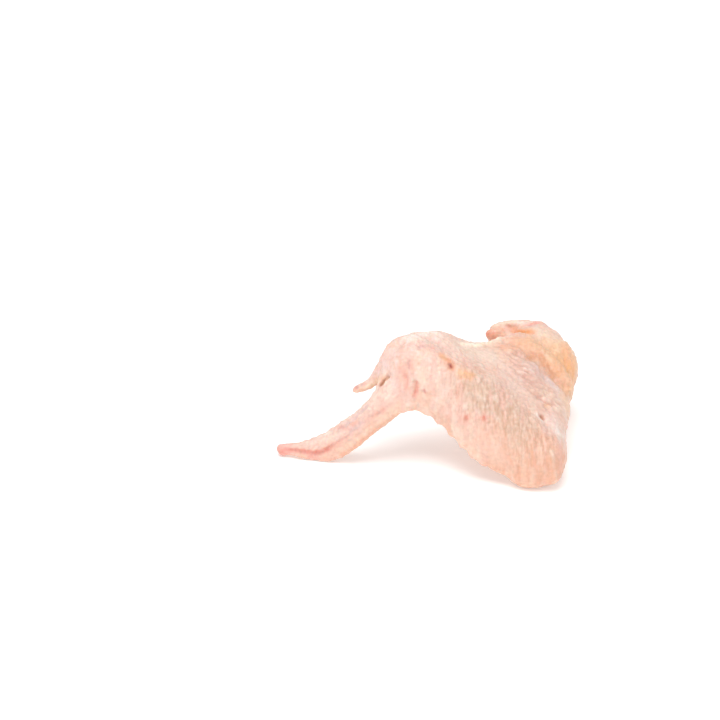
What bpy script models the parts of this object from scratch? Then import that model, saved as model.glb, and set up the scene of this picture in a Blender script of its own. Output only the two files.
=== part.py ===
"""Raw chicken wing, whole and untrimmed, lying folded on its underside.

The elbow is at the front on the surface, the cut shoulder at the back, the wrist is raised and the
wing tip comes down to the left. One solid. Lengths are in millimetres, made metres when meshed.
+X runs from the wing tip to the drumette, +Y from the elbow to the shoulder, +Z up.

Each limb and fold is first a rounded mass of its own. The masses are then remeshed into one skin,
smoothed so that they flow into each other, creased, and cut level where the wing rests.
"""

import math

import bmesh
import bpy
import numpy as np
from mathutils import Matrix, Vector

MM = 0.001

# Joint centres of the folded skeleton
ELBOW = Vector((50, -41, 13.5))
SHOULDER = Vector((52.5, 32, 25))
WRIST = Vector((-10, -13, 48))

# The way out through the feathered side of each limb, and from the forearm to its leading edge
DRUMETTE_DORSAL = Vector((0.05, -0.30, 0.95))
FOREARM_DORSAL = Vector((-0.04, -0.81, 0.59))
FOREARM_LEAD = Vector((0.61, 0.446, 0.655))
HAND_DORSAL = Vector((-0.40, -0.71, 0.58))

# Drumette: share of the way from elbow to shoulder, height over that line, half width, half thickness
DRUMETTE_SECTIONS = (
    (0.00, 0.0, 13.2, 13.2),
    (0.20, 0.2, 13.0, 12.8),
    (0.48, 1.5, 14.8, 14.5),
    (0.75, 1.8, 17.0, 17.5),
    (1.00, 0.0, 17.5, 20.0),
    (1.22, -3.0, 14.0, 17.0),
)

# Forearm: share of the way from elbow to wrist, then the offset towards the leading edge and the radius
# of the muscle's leading half, of its trailing half, and of the thin trailing edge
FOREARM_SECTIONS = (
    (0.00, 0.0, 13.2, 0.0, 13.2, -3.0, 9.0),
    (0.14, 2.0, 12.2, -5.0, 10.2, -13.0, 4.0),
    (0.30, 4.5, 10.8, -6.0, 9.2, -15.2, 2.8),
    (0.50, 6.0, 10.2, -5.0, 8.7, -13.4, 2.6),
    (0.72, 6.5, 10.0, -4.0, 8.2, -12.4, 2.6),
    (0.88, 5.5, 10.2, -4.0, 8.2, -14.5, 2.6),
    (1.00, 3.5, 10.6, -4.0, 8.7, -16.5, 2.6),
)

# Quill sockets along the trailing edge: how many, between which sections, radius, and overhang
QUILLS = 11
QUILL_SPAN = (1.3, 5.9)
QUILL_RADIUS = 2.7
QUILL_OVERHANG = 1.2

# Cut end of the shoulder: a plane across the upper arm, and the loose skin rim round it
CUT_CENTRE = Vector((50.5, 46.5, 24.5))
CUT_NORMAL = Vector((-0.08, 1, 0.10))
RIM_HALF_WIDTH = 13.8
RIM_HALF_HEIGHT = 17.0
RIM_STAND = 3.0
RIM_RADIUS = 2.2
RIM_KNOTS = 20

# Creases pressed into the finished skin: (depth, half width, points along the crease)
CREASES = (
    # the overhang of the shoulder's fat over the upper arm
    (1.4, 1.7, [(37, 18.4, 46), (43.9, 14, 45.3), (50.7, 7.3, 42.1), (60.3, -0.3, 34.7), (66.5, -3, 25)]),
    # between the main finger and the skin fold under it
    (1.0, 0.9, [(-69.7, -16.6, 4.9), (-60.6, -19.8, 5.4), (-53.5, -21.7, 5.4), (-45.5, -23.7, 9.6)]),
    # inside of the wrist bend
    (1.0, 1.2, [(-6.6, -25, 45.5), (-6.2, -26.8, 40.2), (-7.5, -27.1, 36.3)]),
    (0.5, 1.5, [(-11.7, -21.7, 51.5), (-11.2, -25.1, 43)]),
    # under the thumb
    (1.6, 1.0, [(-19.5, -20.4, 45.8), (-21.3, -19.9, 43), (-23.6, -18.7, 39.9)]),
    # the pit above the elbow
    (1.8, 1.2, [(50.9, -31.2, 29.8), (51.9, -31, 29.2)]),
    # the slit behind the shoulder's top edge
    (1.2, 0.9, [(43.2, 36.8, 41.9), (46.6, 31.2, 44.4), (50.7, 28.1, 45.2)]),
    # slack skin in the fold
    (0.6, 1.2, [(36.3, 6.7, 45), (40.9, 3.7, 43.3), (50, -3.1, 39.2)]),
    (0.7, 1.2, [(39.1, -2.8, 42.1), (45, -6.6, 39.8), (56.6, -11.9, 32.5)]),
    (0.7, 1.2, [(33.1, -8.1, 43.6), (40, -11.3, 40), (53.6, -20.6, 31.5)]),
)

# The level that the wing rests on, and the point of it that becomes the world origin
FLOOR = 1.0
ORIGIN = Vector((1.4, 0.2, FLOOR))

# Resolution of the masses, then of the finished skin
RING_POINTS = 28
DOME_RINGS = 4
DOME_REACH = 0.92
SPLINE_STEPS = 4
VOXEL = 0.9
SMOOTH_FACTOR = 0.5
SMOOTH_TIMES = 9
TRIANGLES = 8600

SKIN_COLOUR = (0.92, 0.66, 0.53, 1.0)
SKIN_ROUGHNESS = 0.38

WING = "chicken_wing"
COLLECTION = "raw_chicken_wing"
MASSES = "masses"


def on_curve(rows, position):
    """The smooth curve through rows of equal length, at a position counted in rows."""
    last = len(rows) - 1
    index = min(int(position), last - 1)
    t = position - index
    near = [rows[min(max(index + k, 0), last)] for k in (-1, 0, 1, 2)]
    weights = (
        0.5 * (-t + 2 * t**2 - t**3),
        0.5 * (2 - 5 * t**2 + 3 * t**3),
        0.5 * (t + 4 * t**2 - 3 * t**3),
        0.5 * (-(t**2) + t**3),
    )
    return [sum(w * row[k] for w, row in zip(weights, near)) for k in range(len(rows[0]))]


def smoothed(rows):
    """The rows with SPLINE_STEPS steps between each two, on one smooth curve."""
    steps = (len(rows) - 1) * SPLINE_STEPS
    return [on_curve(rows, k / SPLINE_STEPS) for k in range(steps + 1)]


def placed(name, mesh):
    """The bmesh as an object among the masses."""
    bmesh.ops.recalc_face_normals(mesh, faces=mesh.faces)
    data = bpy.data.meshes.new(name)
    mesh.to_mesh(data)
    mesh.free()
    item = bpy.data.objects.new(name, data)
    bpy.data.collections[MASSES].objects.link(item)
    return item


def with_domes(rings):
    """Adds the rings that round off both ends. A ring is (centre, tangent, half width, half thickness)."""
    ends = []
    for (centre, tangent, width, thick), outward in ((rings[0], -1), (rings[-1], 1)):
        reach = min(width, thick)
        dome = []
        for k in range(1, DOME_RINGS + 1):
            angle = 0.5 * math.pi * DOME_REACH * k / DOME_RINGS
            shift = tangent * outward * reach * math.sin(angle)
            dome.append((centre + shift, tangent, width * math.cos(angle), thick * math.cos(angle)))
        ends.append(dome)
    return ends[0][::-1] + rings + ends[1]


def loft(name, stations, dorsal):
    """A limb or fold: stations are (x, y, z, half width, half thickness), and thickness is along dorsal."""
    rows = smoothed(stations)
    centres = [Vector(row[:3]) for row in rows]
    rings = []
    for k, row in enumerate(rows):
        tangent = (centres[min(k + 1, len(rows) - 1)] - centres[max(k - 1, 0)]).normalized()
        rings.append((centres[k], tangent, row[3], row[4]))
    mesh = bmesh.new()
    loops = []
    for centre, tangent, width, thick in with_domes(rings):
        across = tangent.cross(dorsal).normalized()
        lift = across.cross(tangent)
        loop = []
        for j in range(RING_POINTS):
            angle = 2 * math.pi * j / RING_POINTS
            point = centre + across * width * math.cos(angle) + lift * thick * math.sin(angle)
            loop.append(mesh.verts.new(point * MM))
        loops.append(loop)
    for near, far in zip(loops, loops[1:]):
        for j in range(RING_POINTS):
            k = (j + 1) % RING_POINTS
            mesh.faces.new((near[j], near[k], far[k], far[j]))
    mesh.faces.new(loops[0][::-1])
    mesh.faces.new(loops[-1])
    return placed(name, mesh)


def lump(name, centre, radii, turn=0.0):
    """A rounded mass: an ellipsoid, turned about +Z by some degrees."""
    mesh = bmesh.new()
    bmesh.ops.create_uvsphere(mesh, u_segments=24, v_segments=16, radius=1)
    spin = Matrix.Rotation(math.radians(turn), 4, "Z")
    stretch = Matrix.Diagonal((*(radius * MM for radius in radii), 1))
    mesh.transform(Matrix.Translation(Vector(centre) * MM) @ spin @ stretch)
    return placed(name, mesh)


def stretched(name, balls):
    """The skin drawn tight over some balls, each (centre, radius)."""
    mesh = bmesh.new()
    for centre, radius in balls:
        at = Matrix.Translation(Vector(centre) * MM)
        bmesh.ops.create_uvsphere(mesh, u_segments=16, v_segments=10, radius=radius * MM, matrix=at)
    hull = bmesh.ops.convex_hull(mesh, input=mesh.verts)
    inside = {item for item in hull["geom_interior"] if isinstance(item, bmesh.types.BMVert)}
    bmesh.ops.delete(mesh, geom=list(inside), context="VERTS")
    outside = {item for item in hull["geom"] if isinstance(item, bmesh.types.BMFace)}
    spare = [face for face in mesh.faces if face not in outside]
    bmesh.ops.delete(mesh, geom=spare, context="FACES")
    return placed(name, mesh)


def chain(name, stations):
    """A run of tight skins, each over the balls of two neighbouring stations."""
    for k, (near, far) in enumerate(zip(stations, stations[1:])):
        stretched(f"{name}_{k:02d}", near + far)


def trim(item, point, normal):
    """Cuts a closed mass off flat beyond a plane."""
    mesh = bmesh.new()
    mesh.from_mesh(item.data)
    everything = mesh.verts[:] + mesh.edges[:] + mesh.faces[:]
    bmesh.ops.bisect_plane(
        mesh, geom=everything, dist=1e-7, plane_co=point * MM, plane_no=normal, clear_outer=True
    )
    bmesh.ops.holes_fill(mesh, edges=mesh.edges, sides=0)
    bmesh.ops.recalc_face_normals(mesh, faces=mesh.faces)
    mesh.to_mesh(item.data)
    mesh.free()


def drumette():
    """Upper arm: the shaft, and the thick fatty cap at the shoulder, cut off flat at the back."""
    stations = []
    for share, lift, width, thick in DRUMETTE_SECTIONS:
        centre = ELBOW.lerp(SHOULDER, share) + Vector((0, 0, lift))
        stations.append((*centre, width, thick))
    shaft = loft("drumette_shaft", stations, DRUMETTE_DORSAL)
    cap = lump("shoulder_cap", (53, 33, 25), (17.5, 24, 21))
    trim(shaft, CUT_CENTRE, CUT_NORMAL)
    trim(cap, CUT_CENTRE, CUT_NORMAL)
    lump("fat_bulge", (60.8, 22.5, 27.5), (12.8, 15, 15.6), turn=-15)
    lump("shoulder_base", (54, 27, 12), (15, 17, 12))
    lump("elbow_pad", (45, -43.6, 8), (11, 9.2, 8), turn=-25)
    fold = [
        (43, 24, 42, 3.2, 3.2),
        (49, 18, 41.5, 4.2, 3.8),
        (55.5, 12.5, 37.5, 5.2, 4.4),
        (61, 8, 32.5, 5.8, 5),
        (64.5, 6, 26, 5.8, 5),
        (65, 8, 20, 5, 4.6),
    ]
    loft("fat_fold", fold, Vector((0.5, -0.5, 0.7)))


def cut_end():
    """The shoulder's cut end: a loose skin rim round the muscle ends and the head of the bone."""
    side = CUT_NORMAL.cross(Vector((0, 0, 1))).normalized()
    rise = side.cross(CUT_NORMAL).normalized()
    rim = []
    for k in range(RIM_KNOTS + 1):
        angle = 2 * math.pi * (k % RIM_KNOTS) / RIM_KNOTS
        ripple = math.sin(3 * angle + 0.6) + 0.6 * math.sin(7 * angle)
        out = side * RIM_HALF_WIDTH * math.cos(angle) + rise * RIM_HALF_HEIGHT * math.sin(angle)
        knot = CUT_CENTRE + out * (1 + 0.02 * ripple) + CUT_NORMAL * (RIM_STAND + ripple)
        rim.append([(knot, RIM_RADIUS)])
    chain("skin_rim", rim)
    lump("muscle_top", (44.5, 46.8, 31), (7, 4.6, 5.5))
    lump("muscle_right", (58, 46.5, 29.5), (4.8, 4.2, 7))
    lump("muscle_low", (49, 46.8, 13.5), (7.5, 4.2, 4.6))
    lump("muscle_inner", (41.2, 46.4, 21), (3.6, 4, 5.6))
    lump("bone_head", (51.5, 48.2, 22), (6.4, 5.6, 6.8))
    edge = [(33, 46, 39.5, 2.2, 2.2), (40, 46, 41.5, 2.6, 2.6), (48, 44.5, 42.5, 3, 3), (57, 42, 42, 3, 3)]
    loft("membrane_edge", edge, Vector((0, 0, 1)))
    flap = [(44, 42, 27, 8, 6), (39, 41.5, 33, 7.5, 5), (34.5, 40.5, 37.5, 5.5, 3.6), (31, 40, 40, 2.6, 2.2)]
    loft("muscle_flap", flap, Vector((-0.6, 0.4, 0.6)))


def forearm_point(share, lead):
    """A place in the forearm: share of the way from elbow to wrist, then towards the leading edge."""
    return ELBOW.lerp(WRIST, share) + FOREARM_LEAD * lead


def forearm():
    """Flat: the two-bone middle joint, thick along its leading side, with quills at its thin edge."""
    stations = []
    for share, *pairs in FOREARM_SECTIONS:
        balls = [(forearm_point(share, lead), radius) for lead, radius in zip(pairs[::2], pairs[1::2])]
        stations.append(balls)
    chain("forearm", stations)
    first, last = QUILL_SPAN
    for k in range(QUILLS):
        section = on_curve(FOREARM_SECTIONS, first + (last - first) * k / (QUILLS - 1))
        share, edge = section[0], section[5]
        lump(f"quill_{k:02d}", forearm_point(share, edge - QUILL_OVERHANG), (QUILL_RADIUS,) * 3)


def hand():
    """Wing tip: from the wrist down to the pointed end, a fold of skin below it and the thumb above."""
    fingers = [
        (-10, -14, 46, 13, 9.5),
        (-18.8, -19, 32.4, 8.6, 7.2),
        (-29, -19.7, 21.8, 7.4, 5.8),
        (-39, -19, 13.8, 7.2, 5.2),
        (-49, -18, 8.4, 5.6, 4.4),
        (-59, -16.5, 5.8, 3.9, 3.6),
        (-68.5, -14.8, 4.2, 2.8, 2.6),
    ]
    loft("fingers", fingers, HAND_DORSAL)
    fold = [
        (-63, -17, 3.8, 2.2, 2.2),
        (-55, -18.8, 3.4, 2.8, 2.6),
        (-47.5, -20, 4, 3.4, 3.0),
        (-40.5, -21.2, 7.4, 3.4, 3.2),
        (-32.5, -23.2, 14.8, 3.2, 3.0),
        (-23.5, -24.5, 24, 3.0, 2.8),
        (-15, -25, 30.5, 2.4, 2.4),
    ]
    loft("tip_fold", fold, HAND_DORSAL)
    thumb = [(-12, -9, 47, 6, 5), (-20, -8.5, 42.8, 4.2, 3.6), (-27.5, -8, 35.6, 2.6, 2.3), (-35, -8, 32, 1.6, 1.5)]
    loft("thumb", thumb, HAND_DORSAL)
    lump("wrist_knob", (-8, -8.5, 49), (13.5, 10, 11.5), turn=-25)
    lump("wrist_lead", (-15, -9, 45.5), (7.5, 7, 8.5))
    stretched("wrist_corner", [((-17, -24.5, 29.3), 2.4), ((-8.5, -27, 33.5), 2.6), ((-10, -22, 41), 5)])


def web():
    """The taut skin over the fold between flat and drumette, thinning to its free leading edge."""
    balls = {
        # along the free edge, from the wrist to the shoulder
        "lead0": ((-7, -4, 57), 3.6),
        "lead1": ((4, 0, 56), 3.4),
        "lead2": ((11.5, 5.5, 51.5), 2.6),
        "lead3": ((19.5, 10, 47), 2.1),
        "lead4": ((28, 16, 44.5), 1.9),
        "lead5": ((36, 21.5, 44), 2.2),
        "lead6": ((45, 27, 43.5), 3),
        # along the forearm's leading side, from the elbow to the wrist
        "fore1": ((40, -32, 32.5), 3.5),
        "fore2": ((28, -23, 41), 3.5),
        "fore3": ((15, -15, 48), 3.5),
        "fore4": ((2, -8, 53.5), 4),
        # along the top of the drumette, from the elbow to the shoulder
        "drum0": ((51, -30, 26), 3.5),
        "drum1": ((51, -12, 32), 3.5),
        "drum2": ((51, 6, 38), 3.5),
        "drum3": ((50, 22, 42.5), 3.5),
        # in the middle of the fold
        "mid1": ((39, -12, 37), 2.8),
        "mid2": ((32, 3, 42.5), 2.4),
    }
    spans = (
        ("fore1", "drum0", "drum1"),
        ("fore1", "drum1", "mid1"),
        ("fore1", "fore2", "mid1"),
        ("mid1", "drum1", "drum2"),
        ("fore2", "mid1", "mid2"),
        ("mid1", "drum2", "mid2"),
        ("mid2", "drum2", "drum3"),
        ("fore4", "lead0", "lead1"),
        ("fore3", "fore4", "lead1"),
        ("fore3", "lead1", "lead2"),
        ("fore3", "lead2", "lead3"),
        ("fore2", "fore3", "lead3"),
        ("fore2", "lead3", "mid2"),
        ("lead3", "lead4", "mid2"),
        ("lead4", "lead5", "mid2"),
        ("mid2", "lead5", "drum3"),
        ("lead5", "lead6", "drum3"),
    )
    for k, span in enumerate(spans):
        stretched(f"web_{k:02d}", [balls[name] for name in span])


def apply_modifiers(item):
    """Puts the evaluated mesh in place of the object's own, and clears its modifiers."""
    graph = bpy.context.evaluated_depsgraph_get()
    data = bpy.data.meshes.new_from_object(item.evaluated_get(graph))
    item.modifiers.clear()
    item.data = data


def joined():
    """All masses as one closed skin: remeshed, then smoothed so that they flow into each other."""
    masses = bpy.data.collections[MASSES]
    union = bmesh.new()
    for item in masses.objects:
        union.from_mesh(item.data)
    data = bpy.data.meshes.new(WING)
    union.to_mesh(data)
    union.free()
    for item in list(masses.objects):
        bpy.data.objects.remove(item)
    bpy.data.collections.remove(masses)
    wing = bpy.data.objects.new(WING, data)
    bpy.data.collections[COLLECTION].objects.link(wing)
    remesh = wing.modifiers.new("One skin", "REMESH")
    remesh.mode = "VOXEL"
    remesh.voxel_size = VOXEL * MM
    smooth = wing.modifiers.new("Flow", "SMOOTH")
    smooth.factor = SMOOTH_FACTOR
    smooth.iterations = SMOOTH_TIMES
    apply_modifiers(wing)
    return wing


def distance_to(line, points):
    """How far each point is from a line of several stretches."""
    nearest = np.full(len(points), np.inf)
    for start, end in zip(line, line[1:]):
        along = end - start
        share = np.clip((points - start) @ along / (along @ along), 0, 1)
        gap = np.linalg.norm(points - start - share[:, None] * along, axis=1)
        nearest = np.minimum(nearest, gap)
    return nearest


def crease(item):
    """Presses the creases into the skin, each with a bell-shaped profile across its line."""
    vertices = item.data.vertices
    points = np.empty(len(vertices) * 3)
    normals = np.empty(len(vertices) * 3)
    vertices.foreach_get("co", points)
    vertices.foreach_get("normal", normals)
    points = points.reshape(-1, 3) / MM
    normals = normals.reshape(-1, 3)
    inward = np.zeros(len(vertices))
    for depth, half_width, line in CREASES:
        gap = distance_to(np.array(smoothed(line)), points)
        inward = np.maximum(inward, depth * np.exp(-((gap / half_width) ** 2)))
    points -= normals * inward[:, None]
    vertices.foreach_set("co", (points * MM).ravel())
    item.data.update()


def reduce_to_budget(item):
    """Brings the skin down to the triangle budget, keeping its curves."""
    item.data.calc_loop_triangles()
    reduce = item.modifiers.new("Budget", "DECIMATE")
    reduce.ratio = TRIANGLES / len(item.data.loop_triangles)
    apply_modifiers(item)


def skin_material():
    material = bpy.data.materials.new("raw_skin")
    material.use_nodes = True
    shader = material.node_tree.nodes["Principled BSDF"]
    shader.inputs["Base Color"].default_value = SKIN_COLOUR
    shader.inputs["Roughness"].default_value = SKIN_ROUGHNESS
    shader.inputs["Metallic"].default_value = 0.0
    return material


def main():
    for item in list(bpy.data.objects):
        bpy.data.objects.remove(item)
    for name in (COLLECTION, MASSES):
        bpy.context.scene.collection.children.link(bpy.data.collections.new(name))
    drumette()
    cut_end()
    forearm()
    hand()
    web()
    wing = joined()
    crease(wing)
    reduce_to_budget(wing)
    trim(wing, Vector((0, 0, FLOOR)), Vector((0, 0, -1)))
    wing.data.transform(Matrix.Translation(-ORIGIN * MM))
    wing.data.materials.append(skin_material())
    wing.data.shade_smooth()


main()
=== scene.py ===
import math
from itertools import chain

import bpy
import numpy as np
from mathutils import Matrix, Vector
from mathutils.bvhtree import BVHTree


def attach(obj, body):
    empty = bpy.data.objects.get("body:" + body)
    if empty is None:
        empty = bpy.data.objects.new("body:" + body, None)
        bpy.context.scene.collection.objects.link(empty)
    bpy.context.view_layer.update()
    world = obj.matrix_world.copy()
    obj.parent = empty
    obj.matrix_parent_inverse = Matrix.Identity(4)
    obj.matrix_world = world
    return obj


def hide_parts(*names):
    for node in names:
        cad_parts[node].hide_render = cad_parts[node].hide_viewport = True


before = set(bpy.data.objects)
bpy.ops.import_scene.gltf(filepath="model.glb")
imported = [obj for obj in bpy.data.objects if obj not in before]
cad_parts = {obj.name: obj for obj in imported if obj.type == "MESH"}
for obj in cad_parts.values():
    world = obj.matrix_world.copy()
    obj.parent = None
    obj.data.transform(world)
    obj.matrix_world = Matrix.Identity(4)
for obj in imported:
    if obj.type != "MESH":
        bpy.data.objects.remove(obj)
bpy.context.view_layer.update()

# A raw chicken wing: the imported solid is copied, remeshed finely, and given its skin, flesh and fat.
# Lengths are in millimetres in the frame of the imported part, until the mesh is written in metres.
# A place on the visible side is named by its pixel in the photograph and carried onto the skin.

MM = 0.001
WING = "chicken_wing"
PIECE = "wing_skin"

# The camera of the photograph
PICTURE_SIDE = 720
VIEW_ELEVATION = math.radians(25)
CAMERA_PLACE = Vector((-33.8, -889.67, 457.73))
CAMERA_LENS = 104.1667
CAMERA_SENSOR = 36.0
VIEW_RIGHT = Vector((1, 0, 0))
VIEW_UP = Vector((0, math.sin(VIEW_ELEVATION), math.cos(VIEW_ELEVATION)))
VIEW_AHEAD = Vector((0, math.cos(VIEW_ELEVATION), -math.sin(VIEW_ELEVATION)))

# How far along a line of sight the wing can be
SIGHT_REACH = range(900, 1100, 4)

# The part's own source has its places in another origin, this far away
SOURCE_ORIGIN = Vector((1.4, 0.2, 1.0))

# Resolution of the skin
VOXEL = 0.6
EVEN_FACTOR = 0.5
EVEN_TIMES = 6

# Colours as they look in the bright light, 0 to 255; above that where the photograph is overexposed:
# such colours are brighter than any pigment and paint light onto crests, edges and shaded parts
PALE = (250, 213, 199)
WHITE_PINK = (250, 217, 206)
# a white brighter than any pigment, for painted highlights on crests, rims and edges, and for pale grain
HIGHLIGHT_WHITE = (260, 244, 235)
CREAM = (252, 218, 197)
WEB_CREAM = (254, 226, 208)
TRAIL_CREAM = (262, 238, 216)
HAND_PALE = (255, 226, 212)
HAND_CREAM = (255, 220, 195)
ROSE = (246, 196, 182)
PEACH = (250, 201, 180)
DEEP_PEACH = (242, 184, 156)
# the underside's peach, partly its own colour and partly painted shade
UNDERSIDE_PEACH_SHADE = (246, 190, 158)
GREY_BEIGE = (220, 182, 158)
GREY_DEEP = (206, 166, 140)
LILAC = (238, 207, 202)
LILAC_PALE = (250, 218, 213)
SHADE = (228, 182, 166)
FAT = (252, 208, 170)
FAT_ORANGE = (244, 178, 132)
FAT_YELLOW = (260, 192, 126)
# an orange brighter than any pigment: painted light along the rim of the shoulder's fat
FAT_RIM_HIGHLIGHT = (268, 204, 168)
BLOOD = (222, 112, 92)
BLOOD_PALE = (242, 162, 145)
SCAB = (152, 34, 0)
SCAB_HALO = (236, 146, 98)
PLUM = (196, 110, 118)
FLESH = (246, 166, 138)
FLESH_DEEP = (218, 102, 88)
BLUE_WHITE = (241, 216, 214)
# the thumb's pale strip, brightened past any pigment as painted light where it lies in shade
THUMB_PALE_LIT = (268, 234, 208)
# painted shade for the slit between the thumb and the hand
THUMB_SLIT_SHADE = (196, 128, 92)
# the web's pale edge, brightened past any pigment as a painted highlight
WEB_EDGE_HIGHLIGHT = (272, 256, 236)
TIP_PINK = (252, 184, 174)
TIP_RED = (244, 158, 144)
PIT = (200, 136, 104)
FLAP = (251, 190, 164)
SLIT = (254, 168, 108)
CORAL = (255, 172, 158)
CARTILAGE = (252, 238, 228)
CARTILAGE_BLUE = (226, 224, 226)
MEMBRANE = (253, 226, 206)
TRACT_DARK = (206, 162, 138)
TRACT_LIGHT = (248, 218, 202)
ELBOW_WARM = (244, 176, 144)
ELBOW_PEACH = (256, 188, 154)
WARM_FOLD = (246, 180, 146)
# painted shade for the grooves in and under the shoulder's fat
GROOVE_SHADE = (226, 165, 131)

# The share of a colour's linear value that is pigment; the rest is the brightness of the light
PIGMENT_SHARE = (0.86, 0.87, 0.86)

# The curve from how a colour looks to its linear value
FULL_COLOUR = 255
DARK_END = 0.04045
DARK_SLOPE = 12.92
CURVE_SHIFT = 0.055
CURVE_POWER = 2.4


def linear(colour):
    """The linear pigment of a colour given as it looks."""
    share = np.array(colour, float) / FULL_COLOUR
    curved = ((share + CURVE_SHIFT) / (1 + CURVE_SHIFT)) ** CURVE_POWER
    return np.where(share <= DARK_END, share / DARK_SLOPE, curved) * PIGMENT_SHARE


def from_source(point):
    """A place of the part's own source, in the frame."""
    return np.array(Vector(point) - SOURCE_ORIGIN)


# Large odd factors and shifts that scramble a whole-number place and a seed
PLACE_FACTORS = (73856093, 19349663, 83492791)
SEED_FACTOR = 2654435761
SEED_START = 97
EARLY_FACTOR = 1274126177
LATE_FACTOR = 2246822519
SHIFTS = (13, 16, 11)
LAST_BITS = 0xFFFFFF

# Each random field is two layers of humps, the second half as large and with another seed
OCTAVES = 2
SEED_STEP = 31

# Farther, in cells, than the nearest scattered point can be
FAR_CELL = 9.0

# Keeps a line of one repeated place from dividing by nothing
TINY = 1e-9


def lattice(cell, seed):
    """A number from 0 to 1 for each whole-number place."""
    cell = cell.astype(np.int64) * PLACE_FACTORS
    mixed = cell[:, 0] ^ cell[:, 1] ^ cell[:, 2] ^ (seed * SEED_FACTOR + SEED_START)
    mixed = (mixed ^ (mixed >> SHIFTS[0])) * EARLY_FACTOR
    mixed = mixed ^ (mixed >> SHIFTS[1])
    mixed = mixed * LATE_FACTOR ^ (mixed >> SHIFTS[2])
    return (mixed & LAST_BITS) / LAST_BITS


def eased(share):
    """A share from 0 to 1 that starts and ends gently."""
    return share * share * (3 - 2 * share)


def noise(places, sizes, seed):
    """Smooth humps and hollows from -1 to 1; sizes are their spacing along X, Y and Z."""
    total = np.zeros(len(places))
    reach = 0.0
    for octave in range(OCTAVES):
        part = 1 / 2 ** octave
        grid = places / (np.array(sizes, float) * part)
        cell = np.floor(grid)
        share = eased(grid - cell)
        value = np.zeros(len(places))
        for corner in np.ndindex(2, 2, 2):
            weight = np.where(np.array(corner) == 1, share, 1 - share).prod(axis=1)
            value += weight * lattice(cell + corner, seed + SEED_STEP * octave)
        total += (2 * value - 1) * part
        reach += part
    return total / reach


def cells(places, sizes, seed):
    """How far, in cells, the nearest of many scattered points is."""
    grid = places / np.array(sizes, float)
    base = np.floor(grid)
    nearest = np.full(len(places), FAR_CELL)
    for offset in np.ndindex(3, 3, 3):
        cell = base + offset - 1
        spot = cell + np.stack([lattice(cell, seed + axis) for axis in range(3)], axis=1)
        nearest = np.minimum(nearest, np.linalg.norm(grid - spot, axis=1))
    return nearest


def ramp(value, start, full):
    """0 up to the start, 1 from where it is full, smooth between; full may be the lower of the two."""
    return eased(np.clip((value - start) / (full - start), 0, 1))


def bell(value, width, power=2):
    """1 where the value is 0, falling to nothing beyond the width; a higher power falls more steeply."""
    return np.exp(-(value / width) ** power)


def humps(places, height, sizes, seed):
    """Smooth humps and hollows."""
    return height * noise(places, sizes, seed)


def grooves(places, depth, sizes, seed, sharpness):
    """The depth of winding grooves between rounded humps."""
    return depth * (1 - np.abs(noise(places, sizes, seed))) ** sharpness


def bumps(places, height, sizes, seed, lift, start, full):
    """Rounded bumps with hollows between them."""
    return height * (lift - ramp(cells(places, sizes, seed), start, full))


def distance_to(line, points):
    """The distance of each point to a line through the given places."""
    line = np.array(line, float).reshape(-1, 3)
    nearest = np.linalg.norm(points - line[0], axis=1)
    for start, end in zip(line[:-1], line[1:]):
        along = end - start
        share = np.clip((points - start) @ along / max(along @ along, TINY), 0, 1)
        nearest = np.minimum(nearest, np.linalg.norm(points - start - share[:, None] * along, axis=1))
    return nearest


def ray_of(pixel):
    """The line of sight of a pixel of the photograph."""
    pitch = CAMERA_SENSOR / PICTURE_SIDE
    across = (pixel[0] - PICTURE_SIDE / 2) * pitch
    rise = (PICTURE_SIDE / 2 - pixel[1]) * pitch
    return (VIEW_AHEAD * CAMERA_LENS + VIEW_RIGHT * across + VIEW_UP * rise).normalized()


class Skin:
    """The wing's fine skin mesh, as arrays."""

    def __init__(self):
        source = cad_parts[WING]
        self.item = bpy.data.objects.new(PIECE, source.data.copy())
        bpy.context.scene.collection.objects.link(self.item)
        self.item.data.materials.clear()
        remesh = self.item.modifiers.new("even", "REMESH")
        remesh.mode = "VOXEL"
        remesh.voxel_size = VOXEL * MM
        remesh.use_smooth_shade = True
        smooth = self.item.modifiers.new("smooth", "SMOOTH")
        smooth.factor = EVEN_FACTOR
        smooth.iterations = EVEN_TIMES
        view = bpy.context.evaluated_depsgraph_get()
        mesh = bpy.data.meshes.new_from_object(self.item.evaluated_get(view))
        self.item.modifiers.clear()
        self.item.data = mesh
        mesh.name = PIECE
        self.read()
        self.first = self.places
        polygons = [tuple(face.vertices) for face in mesh.polygons]
        self.tree = BVHTree.FromPolygons([Vector(p) for p in self.places], polygons)

    def read(self):
        """Takes the places and the outward directions from the mesh."""
        mesh = self.item.data
        count = len(mesh.vertices)
        places = np.zeros(count * 3)
        mesh.vertices.foreach_get("co", places)
        self.places = places.reshape(count, 3) / MM
        normals = np.zeros(count * 3)
        mesh.vertex_normals.foreach_get("vector", normals)
        self.normals = normals.reshape(count, 3)

    def push(self, height):
        """Moves the skin outwards by the height at each point."""
        places = self.places + self.normals * height[:, None]
        places[:, 2] = np.maximum(places[:, 2], 0)
        self.item.data.vertices.foreach_set("co", (places * MM).ravel())
        self.item.data.update()
        self.read()

    def spot(self, pixel):
        """Where the line of sight of a pixel meets the skin, or comes nearest to it."""
        sight = ray_of(pixel)
        hit = self.tree.ray_cast(CAMERA_PLACE, sight)[0]
        if hit is None:
            # each pass is a place, its direction, its face and its distance
            passes = [self.tree.find_nearest(CAMERA_PLACE + sight * reach) for reach in SIGHT_REACH]
            hit = min(passes, key=lambda found: found[-1])[0]
        return np.array(hit)

    def gap(self, pixels):
        """How far each point of the mesh, before any relief, was from a line through pixels."""
        return distance_to([self.spot(pixel) for pixel in pixels], self.first)

    def near(self, pixels, radius):
        """1 on a line through pixels, falling to nothing beyond the radius."""
        return bell(self.gap(pixels), radius)

    def patch(self, radius, pixels):
        """1 on a patch of skin round a line through pixels, falling steeply at the radius."""
        return bell(self.gap(pixels), radius, PATCH_STEEPNESS)


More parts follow.
